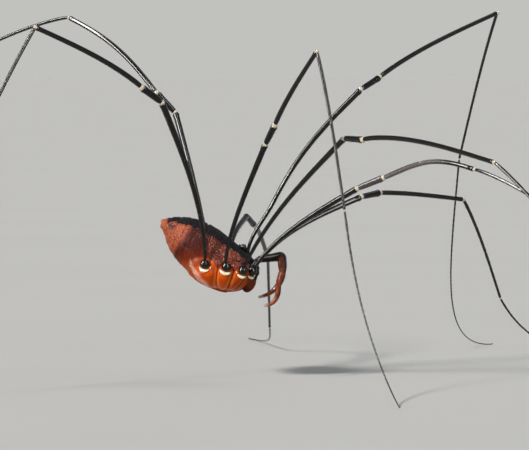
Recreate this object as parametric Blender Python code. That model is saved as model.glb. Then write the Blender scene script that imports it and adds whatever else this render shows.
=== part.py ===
# A harvestman, life size and still: body, palps, chelicerae and eight long legs, standing on its feet.
# All sizes are in millimetres until finish() brings each mesh to metres.
# World axes: +X forward, +Y the animal's left, +Z up. Yaw turns from +X towards +Y, rise lifts from level.
import math

import bmesh
import bpy
from mathutils import Matrix, Vector

# Body: its own axes are s (forward along the body), y (left) and h (up, square to s).
BODY_HEIGHT = 8.4  # of the body's centre above the floor
BODY_PITCH = 22.0  # degrees, head down
GAP = 0.1  # between pieces that meet
SIDES = ((-1, "R"), (1, "L"))
BODY_SECTIONS = (  # s, top, underside, half width
    (-3.95, 0.75, 0.60, 0.10),
    (-3.80, 1.05, 0.42, 0.45),
    (-3.50, 1.28, 0.12, 0.85),
    (-3.00, 1.52, -0.50, 1.25),
    (-2.20, 1.78, -1.12, 1.70),
    (-1.20, 1.85, -1.58, 2.00),
    (-0.20, 1.72, -1.95, 2.05),
    (0.80, 1.42, -2.02, 1.92),
    (1.70, 1.16, -1.94, 1.66),
    (2.40, 0.90, -1.66, 1.28),
    (2.80, 0.68, -1.30, 0.98),
    (3.05, 0.45, -0.90, 0.70),
)
SECTION_SIDES = 24
SECTION_STEP = 0.16
TERGITE_GROOVES = (-3.45, -2.85, -2.15, -1.35, -0.50)  # s of each fold across the abdomen
GROOVE_DEPTH = 0.07
GROOVE_WIDTH = 0.13
WAIST_TOP = (0.75, 1.50)  # s and h where the abdomen meets the carapace
WAIST_FLOOR = (-0.80, -1.90)

# Ocularium and eyes.
OCULARIUM_PLACE = (1.72, 0.0, 1.12)
OCULARIUM_SIZE = (0.40, 0.35, 0.29)
EYE_RADIUS = 0.17
EYE_OFFSET = (0.02, 0.36, 0.15)  # from the ocularium's centre, one on each side

# Legs: the hip is the trochanter's centre, the coxa runs to it from the underside's midline.
HIP = {1: (2.94, 1.65, 0.12), 2: (2.39, 2.25, -0.03), 3: (1.28, 2.50, -0.22), 4: (-0.12, 2.45, -0.58)}
COXA_ROOT = {1: (2.45, 0.45, -1.20), 2: (2.00, 0.50, -1.40), 3: (1.50, 0.50, -1.48), 4: (0.85, 0.50, -1.46)}
COXA_GIRTH = {1: 0.44, 2: 0.50, 3: 0.58, 4: 0.72}
COXA_BACK = {1: 1.0, 2: 1.0, 3: 1.0, 4: 1.6}  # how much wider a coxa is behind its axis
COXA_SAG = {1: 0.30, 2: 0.30, 3: 0.30, 4: 0.20}  # how far a coxa bulges out between root and hip
MOUTH_LOBE_PLACE = (2.92, 0.62, -0.78)  # the lobe beside the mouth, at the palp's base
MOUTH_LOBE_SIZE = (0.42, 0.36, 0.58)
TROCHANTER_RADIUS = 0.33
FEMUR_START = 0.30  # from the hip's centre to the femur's base
SEGMENTS = ("Femur", "Patella", "Tibia", "Metatarsus", "Tarsus")
LENGTHS = {
    1: (9.2, 1.9, 7.4, 9.0, 14.0),
    2: (14.4, 2.0, 12.0, 13.5, 24.0),
    3: (9.0, 1.8, 7.4, 10.5, 17.0),
    4: (11.8, 1.9, 9.4, 14.0, 21.0),
}
# Radius at both ends of each segment; a tarsus ends in its foot.
RADII = ((0.23, 0.28), (0.27, 0.30), (0.27, 0.25), (0.25, 0.23), (0.23, 0.12))
# Yaw and rise of the femur, patella, tibia and metatarsus, then the yaw and rise the tarsus starts
# with and the yaw it ends with.
POSE = {
    "R1": ((-17, 37), (-11, 22), (-36, 5), (-38, -23), (-38, -64, -15)),
    "R2": ((-52, 38), (-52, -2), (-46, -6), (-40, -42), (-40, -40, 25)),
    "R3": ((-44, 65), (-59, 44), (-59, 40), (-50, -74), (-50, -78, -85)),
    "R4": ((-120, 65), (-139, 31), (-137, 24), (-138, -59), (-138, -66, -165)),
    "L1": ((27, 31), (50, 7), (40, -4.5), (62, -52), (62, -42, 25)),
    "L2": ((20, 56), (48, 24), (44, 22), (108, -50), (102, -66, 60)),
    "L3": ((86, 19), (76, -22), (85, -20), (92, -32), (92, -22, 108)),
    "L4": ((115, 57), (168, 45), (146, 34), (161, -22), (161, -79, 140)),
}
# How far the femur, tibia and metatarsus bow to their upper side, and how far the femur bows sideways.
BOW = {
    "R1": (0.55, 0.75, 0.3, 0.0),
    "R2": (0.65, 0.5, 0.4, 0.0),
    "R3": (0.50, 0.2, 0.2, 0.0),
    "R4": (0.55, 0.3, 0.2, 0.3),
    "L1": (0.70, 0.1, 0.3, 0.0),
    "L2": (1.05, 0.3, 0.3, 0.0),
    "L3": (0.50, 0.3, 0.3, 0.25),
    "L4": (0.40, 0.6, 0.6, 0.0),
}
# Power that sets where a segment bends most; above 1 is past its middle.
BEND_PLACE = {("R1", 2): 1.1, ("R3", 0): 0.6, ("L2", 0): 1.0, ("L4", 2): 1.0}
EARLY_LIFT = {("L2", 0): 0.4}  # more bow near a segment's start, over the part of its length below
EARLY_PART = 0.35
FOOT_SINK = 0.75  # the foot's centre stands this part of its radius above the floor, over a small flat

# Palps: the base, knee, patella's end and ankle, then the tarsus's bend and tip, at x, y and height
# above the floor, on the right (-1) and the left (1).
PALP_JOINTS = {
    -1: ((3.00, -0.62, 8.10), (4.68, -1.05, 8.33), (4.78, -1.15, 7.35), (4.50, -1.10, 6.45)),
    1: ((3.00, 0.62, 8.10), (4.64, 1.00, 8.33), (4.68, 1.10, 7.35), (4.38, 1.05, 6.45)),
}
PALP_TIP = {
    -1: ((4.50, -1.02, 5.10), (3.50, -0.85, 5.08)),
    1: ((4.10, 0.95, 5.75), (3.05, 0.80, 5.55)),
}
PALP_RADIUS = 0.22
# Chelicerae: a base article, a hand that hangs from it and two fingers that close as pincers.
CHELICERA_JOINTS = ((2.40, 0.29, 0.22), (3.12, 0.29, -0.02), (3.12, 0.28, -0.50), (3.10, 0.26, -0.90))
CHELICERA_GIRTH = (0.20, 0.26, 0.26, 0.17)
FINGER_TIP = (3.06, 0.22, -1.28)
FINGER_SPREAD = 0.09  # from the hand's axis to each finger's root
FINGER_RADII = (0.085, 0.04)

COLOURS = {
    "body": (0.36, 0.045, 0.012),
    "coxa": (0.48, 0.070, 0.008),
    "leg": (0.012, 0.011, 0.012),
    "palp": (0.30, 0.060, 0.010),
    "eye": (0.004, 0.004, 0.005),
}


def direction(yaw, rise):
    yaw, rise = math.radians(yaw), math.radians(rise)
    return Vector((math.cos(rise) * math.cos(yaw), math.cos(rise) * math.sin(yaw), math.sin(rise)))


PITCH_TURN = Matrix.Rotation(math.radians(BODY_PITCH), 3, "Y")


def body_point(s, y, h):
    return PITCH_TURN @ Vector((s, y, h)) + Vector((0, 0, BODY_HEIGHT))


def mirrored(place, side):
    return (place[0], side * place[1], place[2])


def material(name, roughness):
    made = bpy.data.materials.get(name) or bpy.data.materials.new(name)
    made.use_nodes = True
    shader = made.node_tree.nodes["Principled BSDF"]
    shader.inputs["Base Color"].default_value = (*COLOURS[name], 1)
    shader.inputs["Roughness"].default_value = roughness
    shader.inputs["Metallic"].default_value = 0
    return made


def add_mesh(name, form, collection):
    mesh = bpy.data.meshes.new(name)
    form.to_mesh(mesh)
    form.free()
    piece = bpy.data.objects.new(name, mesh)
    collection.objects.link(piece)
    return piece


def tube_form(points, radii, sides):
    """A round rod through the points as a closed bmesh, made as a bevelled curve."""
    curve = bpy.data.curves.new("rod", "CURVE")
    curve.dimensions = "3D"
    curve.bevel_depth = 1
    curve.bevel_resolution = (sides - 4) // 2
    curve.use_fill_caps = True
    spline = curve.splines.new("POLY")
    spline.points.add(len(points) - 1)
    for knot, place, radius in zip(spline.points, points, radii):
        knot.co = (*place, 1)
        knot.radius = radius
    holder = bpy.data.objects.new("rod", curve)
    bpy.context.scene.collection.objects.link(holder)
    bpy.context.view_layer.update()
    graph = bpy.context.evaluated_depsgraph_get()
    mesh = bpy.data.meshes.new_from_object(holder.evaluated_get(graph))
    bpy.data.objects.remove(holder)
    form = bmesh.new()
    form.from_mesh(mesh)
    bpy.data.meshes.remove(mesh)
    bmesh.ops.remove_doubles(form, verts=form.verts, dist=0.001)
    bmesh.ops.recalc_face_normals(form, faces=form.faces)
    return form


def cut(form, place, normal):
    """Cuts the closed form flat and drops what lies on the normal's side."""
    whole = form.verts[:] + form.edges[:] + form.faces[:]
    bmesh.ops.bisect_plane(form, geom=whole, dist=1e-5, plane_co=place, plane_no=normal, clear_outer=True)
    rim = [edge for edge in form.edges if edge.is_boundary]
    bmesh.ops.holes_fill(form, edges=rim, sides=0)
    bmesh.ops.recalc_face_normals(form, faces=form.faces)


def ball_form(place, size, rings=8):
    form = bmesh.new()
    spread = Matrix.Translation(place) @ Matrix.Diagonal((*size, 1))
    bmesh.ops.create_uvsphere(form, u_segments=rings + 4, v_segments=rings, radius=1, matrix=spread)
    return form


def arched(start, end, lift, sway, count, power, early):
    """Points from start to end, bowed upward and sideways, with the fullest bend where the power puts it."""
    run = end - start
    along = run.normalized()
    upward = (Vector((0, 0, 1)) - along * along.z).normalized()
    bow = upward * lift + upward.cross(along) * sway
    points = []
    for step in range(count + 1):
        t = step / count
        first = early * math.sin(math.pi * min(t / EARLY_PART, 1) ** 0.6) ** 2
        points.append(start + run * t + bow * math.sin(math.pi * t**power) + upward * first)
    return points


def tarsus_points(start, yaw, rise, last_yaw, length, end_height, count):
    """The tarsus levels out just fast enough for its tip to come to end_height."""

    def walk(power):
        points = [start.copy()]
        for step in range(count):
            t = (step + 0.5) / count
            heading = direction(yaw + (last_yaw - yaw) * t**1.5, rise * (1 - t**power))
            points.append(points[-1] + heading * length / count)
        return points

    low, high = 0.05, 60.0
    for _ in range(50):
        power = (low + high) / 2
        if walk(power)[-1].z > end_height:
            low = power
        else:
            high = power
    return walk(power)


def leg_paths(name):
    """The points along each segment of a leg, from the hip to the foot."""
    pair = int(name[1])
    side = -1 if name[0] == "R" else 1
    joint = body_point(*mirrored(HIP[pair], side))
    femur_lift, tibia_lift, metatarsus_lift, femur_sway = BOW[name]
    bows = ((femur_lift, femur_sway), (0, 0), (tibia_lift, 0), (metatarsus_lift, 0))
    steps = (9, 3, 8, 7)
    paths = []
    for index, (length, (yaw, rise)) in enumerate(zip(LENGTHS[pair][:4], POSE[name][:4])):
        end = joint + direction(yaw, rise) * length
        power = BEND_PLACE.get((name, index), 0.75)
        early = EARLY_LIFT.get((name, index), 0)
        paths.append(arched(joint, end, *bows[index], steps[index], power, early))
        joint = end
    yaw, rise, last_yaw = POSE[name][4]
    foot_height = RADII[4][1] * FOOT_SINK
    paths.append(tarsus_points(joint, yaw, rise, last_yaw, LENGTHS[pair][4], foot_height, 16))
    return paths


def mitre(before, after):
    """Where two segments meet, and the normal of the plane that halves their angle."""
    arriving = (before[-1] - before[-2]).normalized()
    leaving = (after[1] - after[0]).normalized()
    return before[-1], (arriving + leaving).normalized()


def segment_form(path, radii, start_cut, end_cut, sides=8):
    """One segment: a rod along its path, reaching past both joints, then cut to the joint planes."""
    reach = 2 * max(radii)
    points = list(path)
    if start_cut:
        points[0] = points[0] + (points[0] - points[1]).normalized() * reach
    if end_cut:
        points[-1] = points[-1] + (points[-1] - points[-2]).normalized() * reach
    form = tube_form(points, radii, sides)
    if start_cut:
        place, normal = start_cut
        cut(form, place + normal * GAP / 2, -normal)
    if end_cut:
        place, normal = end_cut
        cut(form, place - normal * GAP / 2, normal)
    return form


def tapered(path, ends):
    last = len(path) - 1
    return [ends[0] + (ends[1] - ends[0]) * index / last for index in range(last + 1)]


def add_leg(name, collection):
    pair = int(name[1])
    side = -1 if name[0] == "R" else 1
    hip = body_point(*mirrored(HIP[pair], side))
    root = body_point(*mirrored(COXA_ROOT[pair], side))
    paths = leg_paths(name)
    first_run = (paths[0][1] - paths[0][0]).normalized()
    joints = [(hip + first_run * (FEMUR_START - GAP / 2), first_run)]
    for before, after in zip(paths, paths[1:]):
        joints.append(mitre(before, after))
    joints.append(None)

    ball = ball_form(hip, (TROCHANTER_RADIUS,) * 3)
    cut(ball, joints[0][0] - first_run * GAP / 2, first_run)
    inward = (root - hip).normalized()
    cut(ball, hip + inward * (FEMUR_START - GAP), inward)
    pieces = [add_mesh("Leg" + name + "_Trochanter", ball, collection)]
    for segment, path, ends, start, end in zip(SEGMENTS, paths, RADII, joints, joints[1:]):
        form = segment_form(path, tapered(path, ends), start, end)
        if segment == "Tarsus":
            cut(form, Vector((0, 0, 0)), Vector((0, 0, -1)))
        pieces.append(add_mesh("Leg" + name + "_" + segment, form, collection))
    for piece in pieces:
        piece.data.materials.append(material("leg", 0.35))


def section_at(s):
    """Top, underside and half width of the body at s, eased between the named sections."""
    last = len(BODY_SECTIONS) - 2
    for index in range(last + 1):
        if s <= BODY_SECTIONS[index + 1][0] or index == last:
            break
    before, here, there, after = (
        BODY_SECTIONS[max(index - 1, 0)],
        BODY_SECTIONS[index],
        BODY_SECTIONS[index + 1],
        BODY_SECTIONS[min(index + 2, last + 1)],
    )
    width = there[0] - here[0]
    t = min(max((s - here[0]) / width, 0), 1)
    values = []
    for k in (1, 2, 3):
        out_slope = (there[k] - before[k]) / (there[0] - before[0]) * width
        in_slope = (after[k] - here[k]) / (after[0] - here[0]) * width
        value = (2 * t**3 - 3 * t**2 + 1) * here[k] + (t**3 - 2 * t**2 + t) * out_slope
        value += (3 * t**2 - 2 * t**3) * there[k] + (t**3 - t**2) * in_slope
        values.append(value)
    return values


def body_form():
    """The whole body's core, lofted through round sections, with the folds between the tergites."""
    form = bmesh.new()
    first, last = BODY_SECTIONS[0][0], BODY_SECTIONS[-1][0]
    count = round((last - first) / SECTION_STEP)
    rings = []
    for step in range(count + 1):
        s = first + (last - first) * step / count
        top, underside, half_width = section_at(s)
        groove = sum(math.exp(-(((s - place) / GROOVE_WIDTH) ** 2)) for place in TERGITE_GROOVES)
        slim = 1 - GROOVE_DEPTH * groove / max(half_width, 0.8)
        middle, half_height = (top + underside) / 2, (top - underside) / 2
        ring = []
        for corner in range(SECTION_SIDES):
            angle = 2 * math.pi * corner / SECTION_SIDES
            y = half_width * slim * math.cos(angle)
            h = middle + half_height * slim * math.sin(angle)
            ring.append(form.verts.new(body_point(s, y, h)))
        rings.append(ring)
    for ring, following in zip(rings, rings[1:]):
        for corner in range(SECTION_SIDES):
            beside = (corner + 1) % SECTION_SIDES
            form.faces.new((ring[corner], ring[beside], following[beside], following[corner]))
    form.faces.new(rings[0][::-1])
    form.faces.new(rings[-1])
    bmesh.ops.recalc_face_normals(form, faces=form.faces)
    return form


def coxa_form(pair, side, grow=0.0):
    """One coxa: a full lobe from the underside's middle to the hip, wider behind its axis."""
    root = body_point(*mirrored(COXA_ROOT[pair], side))
    hip = body_point(*mirrored(HIP[pair], side))
    end = hip + (root - hip).normalized() * FEMUR_START
    run = end - root
    forward = (body_point(1, 0, 0) - body_point(0, 0, 0)).normalized()
    bulge = (body_point(0, side, -1) - body_point(0, 0, 0)).normalized() * COXA_SAG[pair]

    def axis(t):
        return root.lerp(end, t) + bulge * math.sin(math.pi * t)

    shape = ((0.0, 0.55), (0.18, 0.85), (0.4, 1.0), (0.62, 1.0), (0.8, 0.92), (0.93, 0.80), (1.0, 0.62))
    form = tube_form([axis(t) for t, _ in shape], [COXA_GIRTH[pair] * part + grow for _, part in shape], 12)
    for vertex in form.verts:
        t = min(max((vertex.co - root).dot(run) / run.length_squared, 0.0), 1.0)
        behind = min((vertex.co - axis(t)).dot(forward), 0.0)
        vertex.co += forward * behind * (COXA_BACK[pair] - 1) * min(1.0, (1 - t) * 4)
    return form


def join(name, base, added, taken, collection):
    """Unites base with the added forms, cuts the taken ones from it and keeps the largest closed surface."""
    helpers = bpy.data.collections.new(name + "_helpers")
    bpy.context.scene.collection.children.link(helpers)
    piece = add_mesh(name, base, collection)
    for operation, forms in (("UNION", added), ("DIFFERENCE", taken)):
        for form in forms:
            solid = piece.modifiers.new(operation, "BOOLEAN")
            solid.operation = operation
            solid.solver = "MANIFOLD"
            solid.object = add_mesh("helper", form, helpers)
    bpy.context.view_layer.update()
    graph = bpy.context.evaluated_depsgraph_get()
    mesh = bpy.data.meshes.new_from_object(piece.evaluated_get(graph))
    piece.modifiers.clear()
    old = piece.data
    piece.data = mesh
    mesh.name = name
    bpy.data.meshes.remove(old)
    for helper in list(helpers.objects):
        bpy.data.objects.remove(helper)
    bpy.data.collections.remove(helpers)
    keep_largest(mesh)
    return piece


def keep_largest(mesh):
    form = bmesh.new()
    form.from_mesh(mesh)
    form.verts.ensure_lookup_table()
    unseen = set(form.verts)
    islands = []
    while unseen:
        island = {unseen.pop()}
        edge_of_search = list(island)
        while edge_of_search:
            vertex = edge_of_search.pop()
            for edge in vertex.link_edges:
                other = edge.other_vert(vertex)
                if other in unseen:
                    unseen.remove(other)
                    island.add(other)
                    edge_of_search.append(other)
        islands.append(island)
    islands.sort(key=len, reverse=True)
    scraps = [vertex for island in islands[1:] for vertex in island]
    bmesh.ops.delete(form, geom=scraps, context="VERTS")
    bmesh.ops.remove_doubles(form, verts=form.verts, dist=0.0005)
    bmesh.ops.dissolve_degenerate(form, edges=form.edges, dist=0.0005)
    form.to_mesh(mesh)
    form.free()


def waist():
    """The slanted plane between abdomen and prosoma, its normal towards the head."""
    top = body_point(WAIST_TOP[0], 0, WAIST_TOP[1])
    bottom = body_point(WAIST_FLOOR[0], 0, WAIST_FLOOR[1])
    normal = (top - bottom).cross(Vector((0, 1, 0))).normalized()
    if normal.x < 0:
        normal = -normal
    return top, normal


def add_body(collection):
    place, forward = waist()
    abdomen = body_form()
    cut(abdomen, place - forward * GAP / 2, forward)
    rear_coxae = [coxa_form(4, side, GAP) for side, _ in SIDES]
    abdomen = join("Abdomen", abdomen, [], rear_coxae, collection)
    abdomen.data.materials.append(material("body", 0.5))

    prosoma = body_form()
    cut(prosoma, place + forward * GAP / 2, -forward)
    growths = [coxa_form(pair, side) for pair in HIP for side, _ in SIDES]
    growths.append(ball_form(body_point(*OCULARIUM_PLACE), OCULARIUM_SIZE, 10))
    for side, _ in SIDES:
        growths.append(ball_form(body_point(*mirrored(MOUTH_LOBE_PLACE, side)), MOUTH_LOBE_SIZE, 8))
    sockets = []
    for side, _ in SIDES:
        sockets += [chelicera_form(side, GAP), palp_femur_form(side, GAP), eye_form(side, GAP / 2)]
    prosoma = join("Prosoma", prosoma, growths, sockets, collection)
    prosoma.data.materials.append(material("coxa", 0.4))


def eye_form(side, grow=0.0):
    place = [a + b for a, b in zip(OCULARIUM_PLACE, mirrored(EYE_OFFSET, side))]
    return ball_form(body_point(*place), (EYE_RADIUS + grow,) * 3, 8)


def chelicera_form(side, grow=0.0):
    """The folded chelicera: its base article runs forward, its hand hangs and tapers to the fingers."""
    points = [body_point(*mirrored(place, side)) for place in CHELICERA_JOINTS]
    return tube_form(points, [radius + grow for radius in CHELICERA_GIRTH], 8)


def finger_form(side, way):
    """One finger of a pincer, in front of the hand's axis (way 1) or behind it (way -1)."""
    root_s, root_y, root_h = CHELICERA_JOINTS[-1]
    root = body_point(root_s + way * FINGER_SPREAD, side * root_y, root_h + FINGER_SPREAD)
    tip = body_point(FINGER_TIP[0] + way * FINGER_RADII[1], side * FINGER_TIP[1], FINGER_TIP[2])
    knuckle = body_point(root_s + way * FINGER_SPREAD * 1.2, side * root_y, (root_h + FINGER_TIP[2]) / 2)
    return tube_form([root, knuckle, tip], [FINGER_RADII[0], FINGER_RADII[0] * 0.8, FINGER_RADII[1]], 6)


def palp_paths(side):
    base, knee, patella_end, ankle = (Vector(place) for place in PALP_JOINTS[side])
    bend, tip = (Vector(place) for place in PALP_TIP[side])
    tarsus = []
    for step in range(7):
        t = step / 6
        tarsus.append(ankle * (1 - t) ** 2 + bend * 2 * t * (1 - t) + tip * t**2)
    shank = [knee, knee.lerp(patella_end, 0.5), patella_end, patella_end.lerp(ankle, 0.5), ankle]
    return [base, base.lerp(knee, 0.5), knee], shank, tarsus


def palp_femur_form(side, grow=0.0):
    femur, shank, _ = palp_paths(side)
    radii = [part * PALP_RADIUS + grow for part in (0.8, 1.0, 1.1)]
    return segment_form(femur, radii, None, mitre(femur, shank))


def add_eyes(collection):
    for side, label in SIDES:
        piece = add_mesh("Eye_" + label, eye_form(side), collection)
        piece.data.materials.append(material("eye", 0.05))


def add_palps(collection):
    for side, label in SIDES:
        femur, shank, tarsus = palp_paths(side)
        knee, ankle = mitre(femur, shank), mitre(shank, tarsus)
        shank_radii = [part * PALP_RADIUS for part in (1.1, 0.95, 1.2, 1.0, 0.9)]
        tarsus_radii = tapered(tarsus, (0.85 * PALP_RADIUS, 0.4 * PALP_RADIUS))
        forms = (
            ("Femur", palp_femur_form(side)),
            ("Tibia", segment_form(shank, shank_radii, knee, ankle)),
            ("Tarsus", segment_form(tarsus, tarsus_radii, ankle, None)),
        )
        for segment, form in forms:
            piece = add_mesh("Palp" + segment + "_" + label, form, collection)
            piece.data.materials.append(material("palp", 0.3))


def add_chelicerae(collection):
    for side, label in SIDES:
        fingers = [finger_form(side, way) for way in (1, -1)]
        piece = join("Chelicera_" + label, chelicera_form(side), fingers, [], collection)
        piece.data.materials.append(material("palp", 0.3))


def finish(collection):
    """Sets the footprint's middle on the origin and brings every mesh to metres."""
    corners = [vertex.co for piece in collection.objects for vertex in piece.data.vertices]
    centre = [(min(c[axis] for c in corners) + max(c[axis] for c in corners)) / 2 for axis in (0, 1)]
    lowest = min(c.z for c in corners)
    to_metres = Matrix.Scale(0.001, 4) @ Matrix.Translation((-centre[0], -centre[1], -lowest))
    for piece in collection.objects:
        piece.data.transform(to_metres)
        piece.data.shade_smooth()
        piece.data.set_sharp_from_angle(angle=math.radians(50))
    return centre, lowest


def main():
    for leftover in list(bpy.data.objects):
        bpy.data.objects.remove(leftover)
    harvestman = bpy.data.collections.new("Harvestman")
    bpy.context.scene.collection.children.link(harvestman)
    add_body(harvestman)
    add_eyes(harvestman)
    add_palps(harvestman)
    add_chelicerae(harvestman)
    for name in POSE:
        add_leg(name, harvestman)
    centre, lowest = finish(harvestman)
    print("footprint middle (mm)", [round(value, 2) for value in centre], "lowest", round(lowest, 4))


main()
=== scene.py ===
import math

import bpy
import numpy as np
from mathutils import Matrix, Vector


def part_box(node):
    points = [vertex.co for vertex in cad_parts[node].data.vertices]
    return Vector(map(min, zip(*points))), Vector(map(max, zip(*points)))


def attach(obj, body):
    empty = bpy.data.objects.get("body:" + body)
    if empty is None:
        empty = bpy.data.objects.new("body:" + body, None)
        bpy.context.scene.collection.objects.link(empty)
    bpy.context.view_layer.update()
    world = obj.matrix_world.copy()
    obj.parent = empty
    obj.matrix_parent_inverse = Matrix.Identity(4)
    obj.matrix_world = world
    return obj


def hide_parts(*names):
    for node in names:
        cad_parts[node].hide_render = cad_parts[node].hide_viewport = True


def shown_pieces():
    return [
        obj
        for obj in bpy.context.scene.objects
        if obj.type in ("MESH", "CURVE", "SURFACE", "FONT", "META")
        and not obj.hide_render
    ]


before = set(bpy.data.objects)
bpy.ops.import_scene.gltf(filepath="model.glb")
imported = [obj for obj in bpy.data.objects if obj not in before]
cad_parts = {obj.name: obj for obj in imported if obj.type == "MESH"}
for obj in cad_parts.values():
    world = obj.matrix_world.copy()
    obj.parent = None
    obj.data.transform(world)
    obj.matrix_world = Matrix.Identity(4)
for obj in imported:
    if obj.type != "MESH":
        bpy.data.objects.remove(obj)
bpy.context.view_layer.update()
bpy.ops.object.select_all(action="DESELECT")

# Everything is modelled in millimetres. The body is shaped level, in its own axes (x forward, z up),
# and tilted head down as it is placed. The limbs are shaped standing on the floor.
stance = {"pitch": 22.0, "height": 8.4, "eyesMiddle": (1.74, 0.0, 1.27)}
sides = {"R": -1, "L": 1}
tilt = Matrix.Rotation(math.radians(stance["pitch"]), 4, "Y")
raised = Matrix.Translation((0, 0, stance["height"])) @ tilt
eyeBoxes = [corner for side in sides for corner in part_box("Eye_" + side)]
shift = raised @ Vector(stance["eyesMiddle"]) - sum(eyeBoxes, Vector()) / len(eyeBoxes) * 1000
shift.z = 0
standing = Matrix.Scale(0.001, 4) @ Matrix.Translation(-shift)
tilted = standing @ raised
random = np.random.default_rng(11)


# Modelling helpers.
def only(piece):
    bpy.ops.object.select_all(action="DESELECT")
    piece.select_set(True)
    bpy.context.view_layer.objects.active = piece


def applied(piece, kind, **settings):
    only(piece)
    made = piece.modifiers.new(kind, kind)
    for key, value in settings.items():
        setattr(made, key, value)
    bpy.ops.object.modifier_apply(modifier=made.name)


def joined(pieces, name):
    only(pieces[0])
    for piece in pieces:
        piece.select_set(True)
    if len(pieces) > 1:
        bpy.ops.object.join()
    made = bpy.context.object
    made.name = made.data.name = name
    return made


def rod(points, radii, corners):
    # a round rod through the points, as wide at each as its radius says
    bpy.ops.curve.primitive_nurbs_path_add()
    made = bpy.context.object
    curve = made.data
    curve.splines.clear()
    spline = curve.splines.new("POLY")
    spline.points.add(len(points) - 1)
    for knot, place, radius in zip(spline.points, points, radii):
        knot.co = (*place, 1)
        knot.radius = radius
    curve.dimensions = "3D"
    curve.bevel_depth = 1
    curve.bevel_resolution = (corners - 4) // 2
    bpy.ops.object.convert(target="MESH")
    bpy.ops.object.mode_set(mode="EDIT")
    bpy.ops.mesh.select_all(action="SELECT")
    bpy.ops.mesh.fill_holes(sides=0)
    bpy.ops.mesh.normals_make_consistent(inside=False)
    bpy.ops.object.mode_set(mode="OBJECT")
    return bpy.context.object


def ball(place, size, rings=16):
    bpy.ops.mesh.primitive_uv_sphere_add(segments=rings * 2, ring_count=rings, radius=1)
    made = bpy.context.object
    made.data.transform(Matrix.Translation(place) @ Matrix.Diagonal((*size, 1)))
    return made


def listed(items, key, width, kind):
    values = np.empty(len(items) * width, kind)
    items.foreach_get(key, values)
    return values.reshape(-1, width)


def pointsOf(piece):
    return listed(piece.data.vertices, "co", 3, np.float32).astype(float)


def normalsOf(piece):
    return listed(piece.data.vertices, "normal", 3, np.float32).astype(float)


def unit(ways):
    return ways / np.linalg.norm(ways, axis=1)[:, None]


def setPoints(piece, places):
    piece.data.vertices.foreach_set("co", places.astype(np.float32).ravel())
    piece.data.update()


def paintPoints(piece, name, values):
    layer = piece.data.attributes.get(name) or piece.data.attributes.new(name, "FLOAT", "POINT")
    count = len(piece.data.vertices)
    layer.data.foreach_set("value", np.broadcast_to(np.asarray(values, np.float32), count).copy())


def eased(low, high, values):
    t = np.clip((values - low) / (high - low), 0, 1)
    return t * t * (3 - 2 * t)


def bell(values, width):
    return np.exp(-((values / width) ** 2))


def between(rows, values):
    # read off a table of pairs
    return np.interp(values, *zip(*rows))


def finished(piece, place, material, replaced, angle=60):
    # into the frame, in metres, with its finish and what it stands for
    piece.data.transform(place)
    piece.data.materials.clear()
    piece.data.materials.append(material)
    only(piece)
    bpy.ops.object.shade_smooth_by_angle(angle=math.radians(angle))
    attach(piece, "root")
    if replaced:
        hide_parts(*replaced)


def template(piece):
    # the points and faces of a small shape that is stamped many times
    places = pointsOf(piece)
    faces = [list(face.vertices) for face in piece.data.polygons]
    bpy.data.objects.remove(piece)
    return places, faces


def beadShape():
    # a low pebble, flatter below
    bpy.ops.mesh.primitive_ico_sphere_add(subdivisions=1, radius=1)
    pebble = bpy.context.object
    places = pointsOf(pebble)
    places[:, 2] = np.where(places[:, 2] > 0, places[:, 2], places[:, 2] * 0.5)
    setPoints(pebble, places)
    return template(pebble)


def thornShape():
    # a small tooth that leans over towards +x
    bpy.ops.mesh.primitive_cone_add(vertices=5, radius1=1, radius2=0.6, depth=0.5, location=(0, 0, 0.15))
    bpy.ops.object.transform_apply()
    bpy.ops.object.mode_set(mode="EDIT")
    bpy.ops.mesh.select_mode(type="FACE")
    bpy.ops.mesh.select_all(action="DESELECT")
    bpy.ops.object.mode_set(mode="OBJECT")
    for face in bpy.context.object.data.polygons:
        face.select = face.normal.z > 0.9
    bpy.ops.object.mode_set(mode="EDIT")
    bpy.ops.mesh.extrude_region_move(TRANSFORM_OT_translate={"value": (0.5, 0, 0.6)})
    bpy.ops.transform.resize(value=(0.15, 0.15, 1), center_override=(0.5, 0, 1.0))
    bpy.ops.object.mode_set(mode="OBJECT")
    return template(bpy.context.object)


bead, thorn = beadShape(), thornShape()


def stamped(name, shape, spots, ways, widths, heights, towards=None):
    # one mesh with a copy of the shape on each spot, standing along its way and leaning towards
    places, faces = shape
    ways = unit(ways)
    if towards is None:
        towards = random.normal(size=ways.shape)
    ahead = unit(towards - ways * (towards * ways).sum(1)[:, None])
    across = np.cross(ways, ahead)
    x, y, z = (values[:, None] for values in places.T)
    flat = x * ahead[:, None] + y * across[:, None]
    copies = spots[:, None] + widths[:, None, None] * flat + heights[:, None, None] * z * ways[:, None]
    starts = np.arange(len(spots)) * len(places)
    corners = [[corner + start for corner in face] for start in starts for face in faces]
    mesh = bpy.data.meshes.new(name)
    mesh.from_pydata(copies.reshape(-1, 3), [], corners)
    made = bpy.data.objects.new(name, mesh)
    bpy.context.scene.collection.objects.link(made)
    return made


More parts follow.
